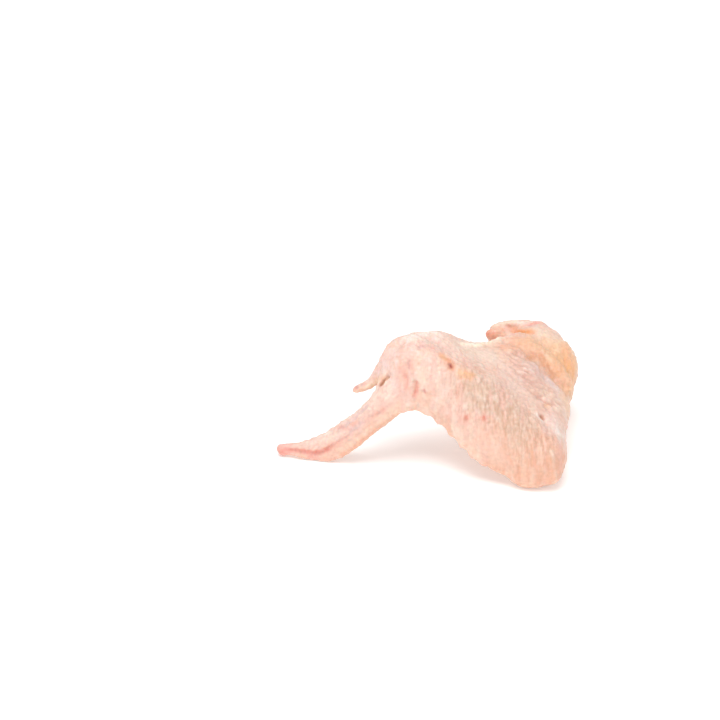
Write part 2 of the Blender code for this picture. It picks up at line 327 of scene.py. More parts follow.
# Swellings and hollows of the broad form: (height, radius, pixels along it)
SWELLS = (
    # the wing tip, the thumb and its root, and the wrist
    (1.1, 3.2, [(280.5, 449)]),
    (0.8, 2.6, [(278, 449)]),
    (1.9, 4.5, [(380, 366), (383, 359), (387, 353)]),
    (-1.3, 4.0, [(396, 345), (403, 341)]),
    (0.8, 3.5, [(358, 389), (368, 385), (376, 378)]),
    (0.6, 5.0, [(430, 366), (434, 380)]),
    # the overhang of the shoulder's fat, and the hollow band under it
    (1.0, 3.8, [(540, 347), (551, 356), (559, 366), (566, 376), (571, 386)]),
    (-0.8, 3.2, [(530, 358), (540, 366), (546, 374), (554, 384), (560, 394)]),
    # round the pit by the elbow
    (0.8, 2.0, [(547, 404.5)]),
    (0.6, 3.5, [(553, 424)]),
    (0.5, 1.4, [(537, 411), (538.5, 416), (541, 421)]),
    # the skin behind the pit, where the hollow band ends
    (1.4, 4.5, [(567, 405), (567, 413)]),
    (0.6, 4.0, [(566, 424)]),
    # the free edge of the web, and its end beside the bare flesh
    (0.6, 1.8, [(463, 344.5), (476, 345), (490, 343), (498, 339.5), (503, 336.5)]),
    # the shoulder's upper right, and skin ends along the top of the cut
    (0.9, 4.0, [(558, 335), (563, 342)]),
    (0.8, 1.5, [(496, 326), (506, 323.5), (520, 322.5)]),
    (0.6, 1.5, [(530, 328), (541, 326), (551, 330)]),
    # the arch beside the wrist, and the lower corner of the elbow
    (-1.0, 4.0, [(424, 416), (433, 420), (442, 427)]),
    (1.3, 4.0, [(557, 479)]),
)

# Creases: (depth, half width, pixels along it)
CREASES = (
    # under the shoulder's fat, and along the wing tip
    (1.2, 1.3, [(532, 352.5), (540, 356), (544, 362), (549, 371), (558, 381), (565.5, 387.5)]),
    (0.35, 1.0, [(286, 449.8), (292, 450), (303, 451.5), (314, 453), (321, 452), (328, 449)]),
    # the wrist
    (0.25, 0.7, [(416, 381), (416.5, 390), (414.5, 396)]),
    (0.5, 0.7, [(409, 361), (408, 368)]),
    (0.5, 0.9, [(404, 366), (406, 376), (407, 386)]),
    (0.5, 0.7, [(424, 391), (424, 394)]),
    (0.4, 0.8, [(432, 376), (433, 392)]),
    # the pit, the slit on the shoulder, the scab, and between the thumb and the hand
    (0.4, 0.9, [(541, 416), (543, 418.5)]),
    (0.5, 1.1, [(513, 331), (523, 332.5), (532, 333)]),
    (0.2, 0.8, [(450, 363), (451.5, 367.5)]),
    (0.6, 0.7, [(388, 377), (384, 380.5), (380, 385)]),
    # folds of the wrinkled hollow
    (0.7, 0.8, [(514, 352), (521, 355), (527, 358)]),
    (0.7, 0.8, [(511, 360), (519, 364), (526, 366)]),
    (0.7, 0.8, [(517, 371), (524, 375), (531, 379)]),
    (0.7, 0.8, [(524, 381), (531, 386), (537, 389)]),
    (0.6, 0.8, [(531, 391), (538, 396), (544, 398)]),
    (0.6, 0.8, [(499, 366), (507, 370), (514, 376)]),
    # the pleats at the foot of the elbow
    (0.35, 0.9, [(518, 470), (518.5, 481)]),
    (0.35, 0.9, [(540, 470), (539.5, 486)]),
    (0.35, 0.9, [(550.5, 466), (551, 484)]),
    # the pads and folds along the hand
    (0.6, 0.8, [(330, 447), (345, 438), (353, 431), (365, 420), (378, 414)]),
    (0.5, 0.8, [(346, 445), (360, 434), (374, 422), (388, 414)]),
    (0.4, 0.8, [(336, 432), (352, 420), (368, 405)]),
    (0.4, 0.8, [(300, 446), (316, 441), (330, 434)]),
)

# Patches of skin with a grain of their own: (radius, pixels through their middle)
FLAT_PATCH = (24, [(430, 385), (470, 405), (510, 430), (540, 450)])
TRACT_PATCH = (14, [(470, 392), (496, 403), (516, 420), (532, 436)])
ELBOW_PATCH = (15, [(518, 468), (540, 462), (556, 456)])
CUFF_PATCH = (5, [(506, 473), (524, 480), (545, 480), (557, 472)])
SLACK_PATCH = (7.5, [(508, 352), (525, 370), (542, 390), (550, 402)])
BULGE_PATCH = (9, [(548, 350), (558, 362), (567, 378)])
RIDGE_PATCH = (7, [(410, 342), (428, 341), (442, 347), (454, 353)])
WEB_PATCH = (6, [(472, 352), (486, 355), (500, 350)])
HAND_PATCH = (8, [(392, 388), (368, 410), (345, 430), (318, 444)])
PATCH_STEEPNESS = 4

# Humps and hollows: (height, spacing along X, Y and Z, seed)
BROAD_HUMPS = (0.5, (9, 9, 9), 3)
FLAT_HUMPS = (0.45, (3.4, 13, 13), 11)
MEAT_FIBRES = (0.25, (1.1, 6, 1.6), 51)
FLAP_LUMPS = (0.7, (3.5, 3.5, 3.5), 53)
RIM_RAGS = (0.6, (2.6, 2.6, 2.6), 52)
RIM_WAVES = (1.1, (8, 8, 8), 54)

# Winding grooves: (depth, spacing along X, Y and Z, seed, sharpness)
CREPE = (0.3, (2.8, 2.8, 2.8), 31, 5)
ELBOW_PLEATS = (0.55, (3.0, 12, 12), 33, 3)
FAT_GATHERS = (0.5, (2.6, 9, 9), 47, 3)
GATHER_LIFT = 0.15

# Rounded bumps: (height, spacing, seed, share above the skin, where in a cell the slope starts and ends)
FOLLICLES = (0.5, (2.0, 3.8, 3.8), 21, 0.6, 0.1, 0.75)
GOOSE_FLESH = (0.32, (2.6, 2.6, 2.6), 22, 0.5, 0.05, 0.6)
SLACK_FOLDS = (1.3, (1.9, 6.5, 6.5), 41, 0.5, 0.1, 0.8)
RIDGE_WRINKLES = (0.55, (1.5, 3.8, 3.8), 48, 0.5, 0.1, 0.8)
HAND_PADS = (0.5, (1.9, 3.8, 3.8), 49, 0.5, 0.1, 0.8)

# The way that folds run, in degrees that they fall to the right in the photograph
SLACK_FALL = 27
HAND_FALL = -38

# How folds wander: spacing and first seed of the wandering, and how far each kind goes
WANDER_SPACING = (6, 6, 6)
WANDER_SEED = 43
SLACK_WANDER = 1.6
RIDGE_WANDER = 1.2
HAND_WANDER = 1.0
FAT_WANDER = 1.2

# Where the slack skin is folded at all: spacing and seed, then where a field starts and is full
FOLDED_FIELD = ((5, 5, 5), 46)
FOLDED_SHARE = (-0.6, 0.4)

# Relief of the cut end, and how much the web's skin is smoother than the rest
SINEW_DEPTH = 0.3
FAT_HEIGHT = 0.5
BONE_EDGE_DEPTH = 0.5
CLEFT_DEPTH = 0.8
WEB_CALM = 0.4

# Colour zones, the later over the earlier: (colour, strength, radius, pixels along it)
ZONES = (
    # elbow and trailing edge; the elbow's right edge and the trailing edge's cream fringe are brightened
    # past pigment as painted light
    (DEEP_PEACH, 0.55, 14.0, [(530, 470), (548, 460), (556, 450)]),
    (ELBOW_PEACH, 0.7, 5.0, [(563, 456), (562, 464), (559, 474)]),
    (DEEP_PEACH, 0.8, 5.0, [(551, 459), (553, 470)]),
    (DEEP_PEACH, 0.35, 4.0, [(510, 469), (514, 474)]),
    (PEACH, 0.75, 6.0, [(448, 431), (457, 438), (478, 456), (500, 470), (515, 478)]),
    (TRAIL_CREAM, 0.6, 2.6, [(441, 421), (447, 426), (452, 430)]),
    (TRAIL_CREAM, 0.3, 2.6, [(456, 437), (470, 449), (484, 460), (496, 468), (504, 474)]),
    (TRAIL_CREAM, 0.5, 2.4, [(514, 481), (530, 487), (548, 486)]),
    # the grey-beige middle of the flat, partly its own colour and partly painted shade, and the pinker
    # skin around it
    (GREY_BEIGE, 0.9, 11.0, [(482, 397), (498, 404), (511, 418), (518, 432)]),
    (GREY_DEEP, 0.5, 4.5, [(479, 395), (489, 404)]),
    (GREY_DEEP, 0.6, 5.0, [(510, 418), (514, 427)]),
    (GREY_BEIGE, 0.45, 7.0, [(466, 386), (478, 396)]),
    (GREY_BEIGE, 0.3, 6.0, [(532, 446), (522, 452)]),
    (ROSE, 0.5, 6.0, [(456, 412), (470, 424), (484, 436)]),
    (PEACH, 0.5, 6.0, [(466, 427), (474, 436), (486, 446)]),
    # between the wrist and the flat, beside the scab, and the arch below the wrist
    (LILAC, 0.35, 5.0, [(436, 372), (440, 390)]),
    (WEB_CREAM, 0.45, 7.0, [(426, 372), (430, 390), (446, 408)]),
    (DEEP_PEACH, 0.45, 2.5, [(456.5, 364), (461, 366)]),
    (FAT_YELLOW, 0.25, 3.0, [(424, 354), (434, 354)]),
    (WEB_CREAM, 0.7, 4.0, [(432, 414), (438, 421)]),
    (WEB_CREAM, 0.7, 3.6, [(440, 418), (447, 424), (454, 430), (460, 436)]),
    (ROSE, 0.4, 3.0, [(404, 382), (406, 391)]),
    # wrist, top ridge and web, with painted highlights along the ridge and the web's edge
    (WHITE_PINK, 0.8, 9.0, [(388, 360), (400, 352), (412, 344), (425, 338), (442, 344), (455, 350)]),
    (LILAC_PALE, 0.7, 6.0, [(380, 376), (384, 364), (390, 356)]),
    (PEACH, 0.5, 4.0, [(388, 350), (393, 345), (400, 341)]),
    (LILAC_PALE, 0.5, 6.0, [(396, 372), (398, 392)]),
    (PEACH, 0.4, 5.0, [(420, 366), (421, 384)]),
    (WHITE_PINK, 0.6, 2.2, [(412, 366), (412.5, 376)]),
    (WHITE_PINK, 0.5, 3.0, [(397, 380), (400, 390)]),
    (DEEP_PEACH, 0.45, 2.2, [(403, 370), (405, 380), (406, 391)]),
    (LILAC, 0.35, 3.0, [(418, 356), (430, 360), (438, 352)]),
    (HIGHLIGHT_WHITE, 1.0, 4.5, [(409, 337), (416, 334.5), (426, 333.5), (436, 336)]),
    (WEB_CREAM, 0.85, 8.0, [(462, 351), (476, 354), (490, 355), (500, 350)]),
    (WEB_EDGE_HIGHLIGHT, 1.0, 2.0, [(463, 344.5), (476, 345), (490, 342.5), (498, 339), (503, 336.5)]),
    # where the fat of the shoulder fades towards the back
    (FAT, 0.75, 12.0, [(568, 350), (573, 364), (572, 380)]),
    # the wrinkled hollow under the shoulder's fat, darkened with painted shade, the folds above it, and
    # its bluish band
    (SHADE, 0.6, 6.0, [(516, 357), (527, 364), (536, 374), (541, 384)]),
    (SHADE, 0.6, 2.2, [(538, 363), (544, 370), (547, 374)]),
    (WARM_FOLD, 0.75, 5.0, [(505, 347), (513, 346), (520, 338), (527, 345)]),
    (GROOVE_SHADE, 0.5, 2.6, [(524, 346), (531, 352)]),
    (WARM_FOLD, 0.4, 3.0, [(527, 341), (530, 346), (535, 352)]),
    (FAT_ORANGE, 0.3, 2.6, [(518, 336), (527, 338)]),
    (BLUE_WHITE, 0.85, 3.4, [(536, 366), (541, 371), (549, 378), (557, 385), (562, 393), (562, 402)]),
    (CREAM, 0.7, 4.5, [(541, 391), (548, 393), (557, 403)]),
    (CREAM, 0.7, 4.0, [(565, 398), (566, 410)]),
    (FAT, 0.45, 4.0, [(564, 397), (566, 410)]),
    # the fat of the shoulder, the grooves in it and under it darkened with painted shade, and its right
    # rim brightened with painted light
    (FAT, 0.55, 8.0, [(530, 340), (545, 342), (556, 350)]),
    (FAT, 0.9, 6.5, [(550, 356), (561, 360), (570, 372), (571, 386)]),
    (FAT_ORANGE, 0.35, 3.5, [(554, 365), (560, 372)]),
    (FAT_ORANGE, 0.6, 1.6, [(545, 361), (551, 367), (557, 374)]),
    (FAT_RIM_HIGHLIGHT, 0.55, 2.6, [(567, 350), (571, 361), (571.5, 372), (569, 381)]),
    (GROOVE_SHADE, 1.0, 2.6, [(530, 357), (535, 356), (540, 355.5)]),
    (GROOVE_SHADE, 0.85, 1.6, [(543.5, 364), (546.5, 366.5), (550, 371), (553.5, 375.5)]),
    (PEACH, 0.5, 2.2, [(560, 384), (565, 381)]),
    (BLUE_WHITE, 0.7, 1.6, [(549, 377.5), (555, 382.5), (559, 386.5)]),
    (FAT_YELLOW, 0.3, 4.0, [(569, 350), (573, 364), (572, 380)]),
    (FAT_YELLOW, 0.7, 2.0, [(567, 362), (569, 372)]),
    (FAT_YELLOW, 0.6, 3.0, [(573, 371), (573, 378)]),
    # around the pit, paler skin, with painted highlight towards the wing's right edge
    (WHITE_PINK, 0.9, 5.0, [(549, 419), (555, 425), (558, 434), (561, 442)]),
    (HIGHLIGHT_WHITE, 0.55, 4.0, [(547, 427), (552, 427), (557, 432)]),
    (HIGHLIGHT_WHITE, 0.5, 4.5, [(561, 434), (563, 444)]),
    (CREAM, 0.6, 3.0, [(533, 420), (539, 425)]),
    # the hand, pale above and peach below, its reddened folds, and painted shade along its lower edge
    # and the tip's
    (HAND_PALE, 0.8, 6.0, [(392, 382), (376, 402), (352, 418), (332, 431)]),
    (PEACH, 0.75, 5.0, [(398, 408), (378, 424), (352, 445), (336, 454)]),
    (HAND_CREAM, 0.6, 4.0, [(394, 412), (372, 429), (358, 442), (342, 453)]),
    (ROSE, 0.7, 2.6, [(334, 428), (343, 427), (352, 424)]),
    (ELBOW_WARM, 0.75, 1.5, [(394, 417), (385, 423), (373, 433), (362, 441.5), (352, 449), (343, 455)]),
    (PEACH, 0.8, 2.6, [(300, 455.5), (318, 458.5), (335, 457)]),
    # the thumb, its pale strip brightened past pigment as painted light, and the top of the cut
    (LILAC_PALE, 0.8, 4.0, [(384, 366), (374, 378), (362, 386)]),
    (THUMB_PALE_LIT, 1.0, 2.2, [(384, 378), (374, 384.5), (364, 389), (357, 391)]),
    (FAT_ORANGE, 0.4, 1.6, [(378, 380), (382, 379)]),
    (MEMBRANE, 0.6, 4.0, [(540, 331), (552, 336)]),
)

# Small marks, laid over everything else, in the same form
MARKS = (
    # the wing tip and the hand
    (WHITE_PINK, 0.6, 1.6, [(288, 446), (298, 444.5), (310, 442.5)]),
    (TIP_PINK, 0.9, 3.6, [(279, 449.5), (286, 450)]),
    (TIP_RED, 0.9, 1.3, [(279, 449.5), (292, 450), (303, 451.5), (314, 453), (321, 452), (328, 449)]),
    (TIP_PINK, 0.8, 1.5, [(310, 457.5), (317, 458.5)]),
    (TIP_RED, 0.7, 1.5, [(280, 452), (283, 452.5)]),
    (ROSE, 0.7, 1.2, [(332, 445), (345, 438), (353, 431), (366, 420), (378, 413), (392, 404)]),
    (PLUM, 0.3, 1.1, [(340, 427.5), (343, 427)]),
    (PLUM, 0.25, 1.0, [(351, 431)]),
    (PLUM, 0.25, 1.0, [(359, 422)]),
    (PLUM, 0.2, 0.9, [(333, 433)]),
    (BLOOD_PALE, 0.4, 1.2, [(352, 425), (355, 423)]),
    (BLOOD_PALE, 0.35, 1.2, [(374, 414.5), (376, 413)]),
    (BLOOD_PALE, 0.35, 1.2, [(382, 408), (382.5, 411)]),
    (BLOOD_PALE, 0.35, 1.8, [(332, 446), (337, 444), (343, 440)]),
    (LILAC, 0.7, 1.5, [(346, 424), (356, 415), (366, 406)]),
    (LILAC, 0.6, 1.3, [(350, 432), (362, 422)]),
    # the thumb's upper edge, and painted shade in the slit between it and the hand
    (PLUM, 0.6, 1.0, [(352, 390), (358, 387.5)]),
    (PLUM, 0.45, 0.8, [(362, 385.5), (365, 384)]),
    (THUMB_SLIT_SHADE, 0.6, 0.6, [(388, 377), (384, 380.5)]),
    (THUMB_SLIT_SHADE, 1.0, 0.7, [(384, 380.5), (380, 385)]),
    # the wrist's creases
    (BLOOD_PALE, 0.4, 1.3, [(402, 368), (404.5, 376), (406.5, 388)]),
    (BLOOD, 0.65, 0.7, [(416.5, 382), (416.8, 391)]),
    (BLOOD_PALE, 0.8, 1.3, [(416, 391), (414.5, 395)]),
    (BLOOD_PALE, 0.7, 0.7, [(424, 390.5), (424.5, 392.5)]),
    (PLUM, 0.3, 0.9, [(409, 362), (409, 367)]),
    (PLUM, 0.3, 1.0, [(417, 348), (424, 345.5)]),
    (PLUM, 0.35, 0.9, [(424, 390), (424.5, 392)]),
    # the scab and the yellow patches by it
    (FAT_ORANGE, 0.7, 1.8, [(442, 355), (446, 359)]),
    (SCAB_HALO, 0.8, 1.7, [(449.6, 361), (451.8, 368.5)]),
    (FAT_YELLOW, 0.5, 2.2, [(461, 372), (472, 374)]),
    (FAT_ORANGE, 0.5, 1.5, [(463, 376), (470, 378)]),
    (SCAB, 1.0, 0.85, [(450.1, 364), (451, 367)]),
    # two red dots
    (BLOOD_PALE, 0.5, 2.0, [(466, 418)]),
    (BLOOD_PALE, 0.5, 2.0, [(484, 418)]),
    (BLOOD, 0.5, 0.9, [(466, 416.5), (466, 418.5)]),
    (BLOOD, 0.8, 1.05, [(484, 417), (484, 418.5)]),
    # the pit by the elbow, its white rim, partly its own colour and partly painted highlight, and the
    # bump above it
    (HIGHLIGHT_WHITE, 0.8, 1.0, [(536.5, 414), (538.5, 417.5), (541.5, 420.8)]),
    (PIT, 0.85, 0.9, [(541, 416.5), (543, 418.3)]),
    (HIGHLIGHT_WHITE, 0.4, 1.3, [(545, 422), (548, 419)]),
    (FAT_ORANGE, 0.6, 1.5, [(546, 405.5), (549, 406)]),
    # on top of the cut: membrane folds with a painted highlight, reddened skin, slit and coral patch
    (MEMBRANE, 0.9, 2.0, [(496, 326), (506, 322.5), (518, 321.5)]),
    (HIGHLIGHT_WHITE, 0.6, 0.9, [(512, 325.5), (522, 322.5), (533, 320.5)]),
    (ROSE, 0.7, 2.2, [(508, 328), (514, 334), (522, 336)]),
    (MEMBRANE, 0.35, 2.5, [(500, 332), (505, 335)]),
    (SLIT, 0.5, 1.9, [(513, 330), (523, 331), (532, 332)]),
    (SLIT, 0.9, 1.2, [(516, 331.5), (523, 332), (529, 332)]),
    (CORAL, 0.8, 1.8, [(529, 324.5), (537, 323)]),
    # painted shade in the deeper folds of the wrinkled hollow, and painted highlight on its paler
    # swellings
    (SHADE, 0.5, 1.6, [(514.5, 365), (518, 368)]),
    (SHADE, 0.55, 1.6, [(525.5, 375), (529, 378)]),
    (SHADE, 0.55, 1.7, [(526, 382.5), (531, 386)]),
    (SHADE, 0.35, 2.6, [(531, 365), (537, 369)]),
    (PEACH, 0.4, 3.0, [(503, 355), (509, 360)]),
    (CREAM, 0.4, 1.5, [(523, 358.5), (527, 361)]),
    (HIGHLIGHT_WHITE, 0.25, 1.6, [(516, 375.5), (522, 379)]),
    # painted shade in the notches between the quill sockets of the trailing edge
    (ELBOW_WARM, 0.5, 1.1, [(448, 430.5)]),
    (ELBOW_WARM, 0.5, 1.1, [(458, 439)]),
    (ELBOW_WARM, 0.35, 1.1, [(465, 445.5)]),
    (ELBOW_WARM, 0.35, 1.1, [(473.5, 452)]),
    (ELBOW_WARM, 0.45, 1.3, [(497.5, 469.5)]),
    (ELBOW_WARM, 0.4, 1.3, [(509.5, 475.5)]),
    # below the middle of the flat, and pleats of the elbow, partly their own streaks and partly painted
    # shade in their creases and painted light between them
    (PEACH, 0.65, 5.5, [(487, 436), (492, 446), (498, 458)]),
    (DEEP_PEACH, 0.75, 2.0, [(550, 461), (550.5, 480)]),
    (DEEP_PEACH, 0.5, 1.5, [(559, 464), (558.5, 474)]),
    (DEEP_PEACH, 0.45, 2.6, [(511, 466), (516, 474)]),
    (DEEP_PEACH, 0.7, 1.4, [(518, 468), (518.5, 479)]),
    (DEEP_PEACH, 0.75, 1.3, [(540, 467), (539.5, 484)]),
    (CREAM, 0.7, 1.2, [(525, 466), (523.5, 482)]),
    (CREAM, 0.65, 1.1, [(532.5, 469), (531.5, 484)]),
    (CREAM, 0.5, 1.0, [(545.5, 471), (546, 485)]),
    (CREAM, 0.4, 1.1, [(554, 473), (555, 480)]),
    # folds and streaks in the fat of the shoulder
    (FAT_ORANGE, 0.45, 0.9, [(556, 352), (560, 364), (561, 372)]),
    (FAT_ORANGE, 0.4, 0.8, [(564, 350), (566, 360), (565, 370)]),
    (FAT_ORANGE, 0.35, 0.8, [(549, 350), (555, 360)]),
)

# Random fields that break up the colours: (spacing along X, Y and Z, seed)
TINT_FIELDS = {
    "rosy clouds": ((5, 12, 12), 61),
    "peach clouds": ((7, 14, 14), 62),
    "bands": ((2.4, 16, 16), 64),
    "streaks": ((1.4, 10, 10), 66),
    "cuff streaks": ((1.7, 12, 12), 68),
    "grain": ((1.3, 2.4, 2.4), 65),
    "blotches": ((2.6, 2.6, 2.6), 67),
    "fine mottle": ((1.5, 1.5, 1.5), 71),
    "coarse mottle": ((5, 5, 5), 73),
    "threads": ((1.8, 5, 2.4), 72),
    "bone clouds": ((4, 4, 4), 74),
}

# The ragged edge of zones and marks: how much, spacing along X, Y and Z, and seed
RAGS = (0.35, (1.6, 1.6, 1.6), 63)

# How much fainter some layers are among the follicles or on the muscle flap
TRACT_FAINTER = 0.6
FLAP_FAINTER = 0.2
FLAP_FAINTEST = 0.5

# Layers over whole patches: (colour, strength, patch, field, where it starts to show and is full)
FIRST_LAYERS = (
    # the underside deeper peach where it faces down: partly its own colour, partly painted shade
    (UNDERSIDE_PEACH_SHADE, 0.85, "everywhere", "facing up", 0.1, -0.7),
    (ROSE, 0.35, "everywhere", "rosy clouds", 0.0, 0.8),
    (PEACH, 0.4, "everywhere", "peach clouds", 0.0, 0.8),
)

# Layers in the same form that go over the zones
SECOND_LAYERS = (
    # streaks of the flat, of the elbow and of its foot
    (ROSE, 0.7, "flat", "bands", 0.0, 0.4),
    (WEB_CREAM, 0.7, "flat, less on the tract", "bands", 0.0, -0.4),
    (CREAM, 0.45, "elbow", "streaks", 0.1, 0.6),
    (DEEP_PEACH, 0.35, "elbow", "streaks", -0.1, -0.6),
    (CREAM, 0.55, "cuff", "cuff streaks", 0.1, 0.5),
    (ELBOW_WARM, 0.55, "cuff", "cuff streaks", 0.0, -0.4),
    # grain of the skin, then its relief painted in: painted highlight on the tops and painted shade in
    # the hollows
    (ROSE, 0.3, "skin", "grain", 0.1, 0.7),
    (HIGHLIGHT_WHITE, 0.2, "skin", "grain", -0.1, -0.7),
    (HIGHLIGHT_WHITE, 0.35, "skin, more where slack", "relief", 0.1, 0.6),
    (ROSE, 0.5, "pink folds", "relief", -0.05, -0.4),
    (LILAC, 0.4, "pink folds", "blotches", 0.1, 0.7),
    (DEEP_PEACH, 0.55, "other skin", "relief", -0.1, -0.7),
    (SHADE, 0.8, "slack", "relief", 0.0, -0.5),
    (FAT_ORANGE, 0.35, "bulge", "relief", -0.1, -0.6),
    # meat, fat, sinew and bone of the cut end
    (FLESH, 1.0, "meat", "even", 0.0, 1.0),
    (FLAP, 1.0, "flap", "even", 0.0, 1.0),
    (FLESH_DEEP, 0.5, "meat, less on the flap", "fine mottle", 0.1, 0.7),
    (FLESH_DEEP, 0.4, "meat, least on the flap", "coarse mottle", -0.1, 0.6),
    (MEMBRANE, 0.5, "meat", "threads", 0.2, 0.8),
    (FAT, 0.8, "fat", "even", 0.0, 1.0),
    (MEMBRANE, 0.85, "sinew", "even", 0.0, 1.0),
    (FLESH_DEEP, 0.5, "bone edge", "even", 0.0, 1.0),
    (CARTILAGE, 1.0, "bone", "even", 0.0, 1.0),
    (CARTILAGE_BLUE, 0.6, "bone", "bone clouds", 0.0, 0.7),
    (ROSE, 0.4, "cleft", "even", 0.0, 1.0),
)

# The cut end, in the places of the part's own source: its middle, then out of it, sideways and up
CUT_CENTRE = from_source((50.5, 46.5, 24.5))
CUT_WAY = Vector((-0.08, 1, 0.10))
CUT_OUT = np.array(CUT_WAY.normalized())
CUT_SIDE = np.array(CUT_WAY.cross(Vector((0, 0, 1))).normalized())
CUT_RISE = np.cross(CUT_SIDE, CUT_OUT)

# Half sizes of its skin rim, its masses (centre, radii), and the middle line of the loose flap
RIM_HALF_WIDTH = 13.8
RIM_HALF_HEIGHT = 17.0
BONE_HEAD = (from_source((51.5, 48.2, 22)), (6.4, 5.6, 6.8))
MUSCLES = (
    (from_source((44.5, 46.8, 31)), (7, 4.6, 5.5)),
    (from_source((58, 46.5, 29.5)), (4.8, 4.2, 7)),
    (from_source((49, 46.8, 13.5)), (7.5, 4.2, 4.6)),
    (from_source((41.2, 46.4, 21)), (3.6, 4, 5.6)),
)
MUSCLE_FLAP = [from_source(p) for p in ((44, 42, 27), (39, 41.5, 33), (34.5, 40.5, 37.5), (31, 40, 40))]

# How uneven the edges on the cut end are: (how much, spacing along X, Y and Z, seed)
RIM_WAVER = (0.05, (3, 3, 3), 81)
BONE_WAVER = (0.09, (5, 5, 5), 85)
SEAM_WANDER = (0.35, (5, 5, 5), 83)
SEAM_FRAY = (0.1, (1.5, 1.5, 1.5), 84)
FAT_LUMPS = (1.0, (3.2, 3.2, 3.2), 82)

# Where each thing on the cut end starts and is full: shares of a half size or of a random field
FLESH_SPREAD = (0.93, 0.84)
FAT_SPREAD = (0.6, 0.8)
FAT_SHARE = (-0.2, 0.3)
BONE_SPREAD = (1.12, 0.95)
BONE_EDGE_WIDTH = 0.1
SEAM_WIDTH = (0.2, 0.03)
RIM_SPREAD = 0.98
RIM_WIDTH = 0.12

# In millimetres: how deep the cut face and its rim reach, the flap's reach, and the bone head's cleft
FACE_DEPTH = (-5.0, -3.5)
RIM_DEPTH = (-3.0, 0.0)
FLAP_REACH = (6.0, 4.5)
CLEFT_OFFSET = 1.8
CLEFT_LEAN = 0.2
CLEFT_WIDTH = 1.1


def read_cut_end(skin):
    """How much each point is flesh, bone head, sinew, fat under the skin, or the skin's cut rim."""
    places = skin.places
    away = places - CUT_CENTRE
    out = away @ CUT_OUT
    side = away @ CUT_SIDE
    rise = away @ CUT_RISE
    spread = np.hypot(side / RIM_HALF_WIDTH, rise / RIM_HALF_HEIGHT) + humps(places, *RIM_WAVER)
    inside = ramp(spread, *FLESH_SPREAD) * ramp(out, *FACE_DEPTH)
    centre, radii = BONE_HEAD
    head = np.linalg.norm((places - centre) / radii, axis=1) + humps(places, *BONE_WAVER)
    skin.bone = ramp(head, *BONE_SPREAD) * inside
    skin.cleft = bell(side - CLEFT_OFFSET - CLEFT_LEAN * rise, CLEFT_WIDTH) * skin.bone
    skin.bone_edge = bell(head - BONE_SPREAD[0], BONE_EDGE_WIDTH) * inside
    skin.flap = ramp(distance_to(MUSCLE_FLAP, places), *FLAP_REACH) * (1 - inside)
    skin.flesh = np.maximum(inside, skin.flap)
    depths = np.stack([np.linalg.norm((places - middle) / sides, axis=1) for middle, sides in MUSCLES])
    depths.sort(axis=0)
    seam = depths[1] - depths[0] + humps(places, *SEAM_WANDER) + humps(places, *SEAM_FRAY)
    skin.sinew = ramp(np.abs(seam), *SEAM_WIDTH) * inside * (1 - skin.bone)
    lumps = ramp(humps(places, *FAT_LUMPS), *FAT_SHARE)
    skin.fat = ramp(spread, *FAT_SPREAD) * lumps * inside * (1 - skin.bone)
    skin.rim = bell(spread - RIM_SPREAD, RIM_WIDTH) * ramp(out, *RIM_DEPTH)


def shape(skin):
    """Presses the broad swellings, then the creases and the fine relief into the skin."""
    height = np.zeros(len(skin.places))
    for rise, radius, pixels in SWELLS:
        height += rise * skin.near(pixels, radius)
    skin.push(height)
    read_cut_end(skin)
    skin.flat = skin.patch(*FLAT_PATCH)
    skin.tract = skin.patch(*TRACT_PATCH)
    skin.elbow = skin.patch(*ELBOW_PATCH)
    skin.cuff = skin.patch(*CUFF_PATCH)
    skin.slack = skin.patch(*SLACK_PATCH)
    skin.bulge = skin.patch(*BULGE_PATCH)
    skin.ridge = skin.patch(*RIDGE_PATCH)
    skin.web = skin.patch(*WEB_PATCH)
    skin.hand = skin.patch(*HAND_PATCH)
    skin.relief = fine_relief(skin)
    height = skin.relief.copy()
    for depth, width, pixels in CREASES:
        height -= depth * skin.near(pixels, width)
    skin.push(height)


def turned(sheet, degrees):
    """Places across and along a direction that falls to the right by so many degrees, and in depth."""
    turn = math.radians(degrees)
    along = sheet[:, 0] * math.cos(turn) - sheet[:, 1] * math.sin(turn)
    across = sheet[:, 0] * math.sin(turn) + sheet[:, 1] * math.cos(turn)
    return np.stack([across, along, sheet[:, 2]], axis=1)


def fine_relief(skin):
    """The grain of each patch of the skin, and the fibres of the bare flesh."""
    places = skin.places
    bare = 1 - skin.flesh
    sheet = np.stack([places @ np.array(axis) for axis in (VIEW_RIGHT, VIEW_UP, VIEW_AHEAD)], axis=1)
    slant = turned(sheet, SLACK_FALL)
    uphill = turned(sheet, HAND_FALL)

    height = humps(places, *BROAD_HUMPS)
    height += skin.flat * humps(places, *FLAT_HUMPS)
    height += skin.tract * bumps(places, *FOLLICLES)
    height += (1 - skin.tract) * bare * bumps(places, *GOOSE_FLESH)
    height -= bare * grooves(places, *CREPE)
    height -= skin.elbow * grooves(places, *ELBOW_PLEATS)
    wander = np.stack([noise(places, WANDER_SPACING, WANDER_SEED + axis) for axis in range(3)], axis=1)
    folded = ramp(noise(places, *FOLDED_FIELD), *FOLDED_SHARE)
    height += skin.slack * folded * bumps(slant + SLACK_WANDER * wander, *SLACK_FOLDS)
    height += skin.ridge * (1 - skin.slack) * bumps(slant + RIDGE_WANDER * wander, *RIDGE_WRINKLES)
    height += skin.hand * bumps(uphill + HAND_WANDER * wander, *HAND_PADS)
    height -= skin.bulge * (grooves(places + FAT_WANDER * wander, *FAT_GATHERS) - GATHER_LIFT)
    height += skin.flesh * (1 - skin.bone) * humps(places, *MEAT_FIBRES)
    height -= skin.sinew * SINEW_DEPTH
    height += skin.flap * humps(places, *FLAP_LUMPS)
    height += skin.fat * FAT_HEIGHT
    height -= skin.bone_edge * BONE_EDGE_DEPTH + skin.cleft * CLEFT_DEPTH
    height *= 1 - WEB_CALM * skin.web
    height += skin.rim * (humps(places, *RIM_RAGS) + humps(places, *RIM_WAVES))
    return height


